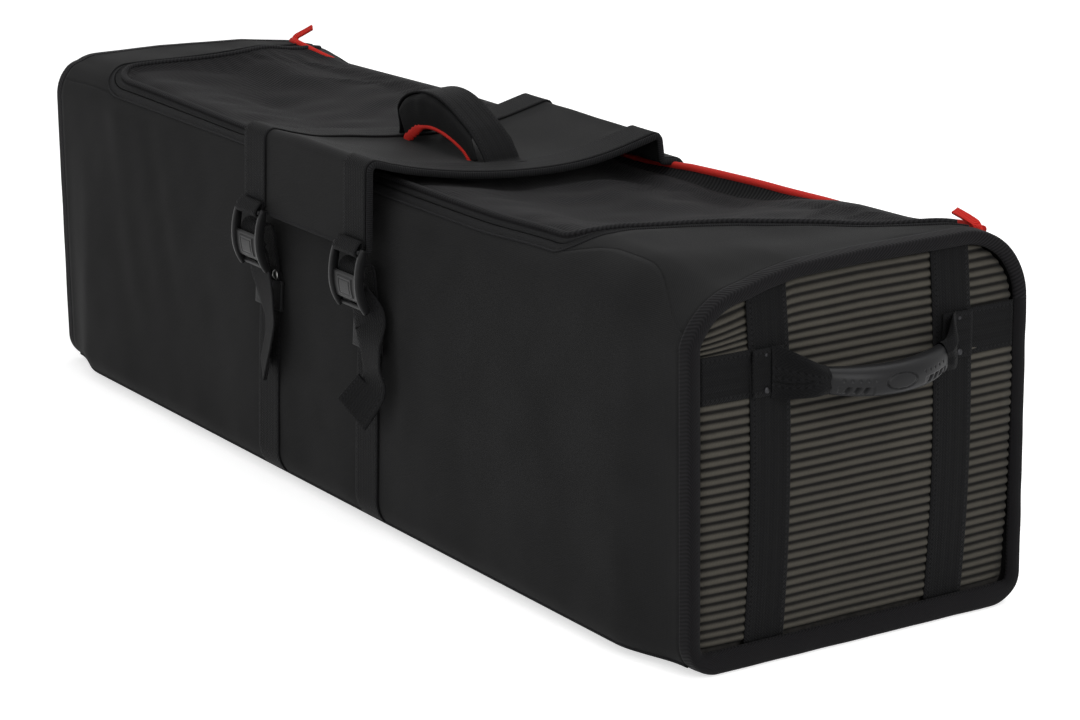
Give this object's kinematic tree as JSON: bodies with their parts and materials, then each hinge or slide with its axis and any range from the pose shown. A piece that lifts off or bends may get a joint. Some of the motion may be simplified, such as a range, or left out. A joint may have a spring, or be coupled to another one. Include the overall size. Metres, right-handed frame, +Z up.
{
  "type": "drum hardware bag",
  "caption": "Long soft-sided hardware bag with bound ribbed ends, a zipped lid, a buckled saddle flap, a padded top handle and moulded end handles.",
  "frame": {"origin": "centre of the bottom face, on the surface that the bag stands on", "axes": "+X along the length towards the right end, +Y from the buckled front to the back, +Z up"},
  "size_m": [1.2258, 0.3873, 0.3557],
  "materials": {
    "shell_fabric": "tight woven nylon, slightly satin",
    "end_board": "stiff board",
    "lining": "brushed padding",
    "ribbed_fabric": "horizontally ribbed, padded",
    "binding": "ribbed grosgrain tape",
    "webbing": "ribbed nylon webbing",
    "mesh_fabric": "twilled mesh",
    "zip_tape": "woven zip tape and coil",
    "red_piping": "smooth corded piping",
    "flap_fabric": "woven nylon",
    "buckle_plastic": "moulded, fine texture",
    "grip_plastic": "moulded, satin",
    "bright_metal": "polished",
    "dark_metal": "gunmetal"
  },
  "bodies": {
    "shell": {"back_lining": "lining", "back_panel": "shell_fabric", "body_zip_tape": "zip_tape", "bottom_board": "end_board", "bottom_panel": "shell_fabric", "flap_root": "flap_fabric", "front_lining": "lining", "front_panel": "shell_fabric", "hinge_tape": "binding", "left_back_strap": "webbing", "left_end_band": "webbing", "left_end_binding": "binding", "left_end_panel": "end_board", "left_end_ribs": "ribbed_fabric", "left_end_strap_front": "webbing", "left_end_strap_rear": "webbing", "left_front_strap": "webbing", "left_handle_rivets": "bright_metal", "left_handle_tabs": "webbing", "left_strap_patch": "webbing", "left_strap_studs": "bright_metal", "left_top_gusset": "shell_fabric", "rear_piping": "red_piping", "rear_tabs": "red_piping", "right_back_strap": "webbing", "right_end_band": "webbing", "right_end_binding": "binding", "right_end_panel": "end_board", "right_end_ribs": "ribbed_fabric", "right_end_strap_front": "webbing", "right_end_strap_rear": "webbing", "right_front_strap": "webbing", "right_handle_rivets": "bright_metal", "right_handle_tabs": "webbing", "right_strap_patch": "webbing", "right_strap_studs": "bright_metal", "right_top_gusset": "shell_fabric"},
    "lid": {"lid_panel": "mesh_fabric", "lid_piping": "zip_tape", "lid_zip_tape": "zip_tape"},
    "flap": {"flap_panel": "flap_fabric", "flap_binding": "binding", "left_flap_strap": "webbing", "right_flap_strap": "webbing", "top_handle_feet": "webbing"},
    "top_handle": {"top_handle_webbing": "webbing", "top_handle_wrap": "flap_fabric", "top_handle_piping": "red_piping"},
    "left_buckle_body": {"left_buckle": "buckle_plastic", "left_buckle_strap": "webbing"},
    "right_buckle_body": {"right_buckle": "buckle_plastic", "right_buckle_strap": "webbing"},
    "left_end_handle": {"left_handle_core": "webbing", "left_handle_grip": "grip_plastic"},
    "right_end_handle": {"right_handle_core": "webbing", "right_handle_grip": "grip_plastic"},
    "left_slider_body": {"left_zip_slider": "bright_metal"},
    "right_slider_body": {"right_zip_slider": "bright_metal"},
    "left_pull_body": {"left_zip_pull": "dark_metal"},
    "right_pull_body": {"right_zip_pull": "dark_metal"}
  },
  "joints": [
    {"name": "lid_hinge", "type": "hinge", "parent": "shell", "child": "lid", "pos_m": [0, 0.1404, 0.3105], "axis": [-1, 0, 0], "range_deg": [0, 95]},
    {"name": "flap_hinge", "type": "hinge", "parent": "lid", "child": "flap", "pos_m": [0, 0.1404, 0.3105], "axis": [-1, 0, 0], "range_deg": [0, 80]},
    {"name": "top_handle_lean", "type": "hinge", "parent": "flap", "child": "top_handle", "pos_m": [0, -0.016, 0.31306], "axis": [1, 0, 0], "range_deg": [-35, 35]},
    {"name": "left_buckle_swing", "type": "hinge", "parent": "flap", "child": "left_buckle_body", "pos_m": [-0.09, -0.1936, 0.2536], "axis": [-1, 0, 0], "range_deg": [0, 60]},
    {"name": "right_buckle_swing", "type": "hinge", "parent": "flap", "child": "right_buckle_body", "pos_m": [0.09, -0.1936, 0.2536], "axis": [-1, 0, 0], "range_deg": [0, 60]},
    {"name": "left_end_handle_swing", "type": "hinge", "parent": "shell", "child": "left_end_handle", "pos_m": [-0.57303, 0, 0.238], "axis": [0, 1, 0], "range_deg": [-60, 70]},
    {"name": "right_end_handle_swing", "type": "hinge", "parent": "shell", "child": "right_end_handle", "pos_m": [0.57303, 0, 0.238], "axis": [0, -1, 0], "range_deg": [-60, 70]},
    {"name": "left_zip_slide", "type": "slide", "parent": "lid", "child": "left_slider_body", "axis": [-1, 0, 0], "range_m": [0, 0.36]},
    {"name": "left_pull_swing", "type": "hinge", "parent": "left_slider_body", "child": "left_pull_body", "pos_m": [-0.014, -0.15842, 0.30205], "axis": [-1, 0, 0], "range_deg": [0, 8]},
    {"name": "right_zip_slide", "type": "slide", "parent": "lid", "child": "right_slider_body", "axis": [1, 0, 0], "range_m": [0, 0.36]},
    {"name": "right_pull_swing", "type": "hinge", "parent": "right_slider_body", "child": "right_pull_body", "pos_m": [0.014, -0.15842, 0.30205], "axis": [-1, 0, 0], "range_deg": [0, 8]}
  ]
}
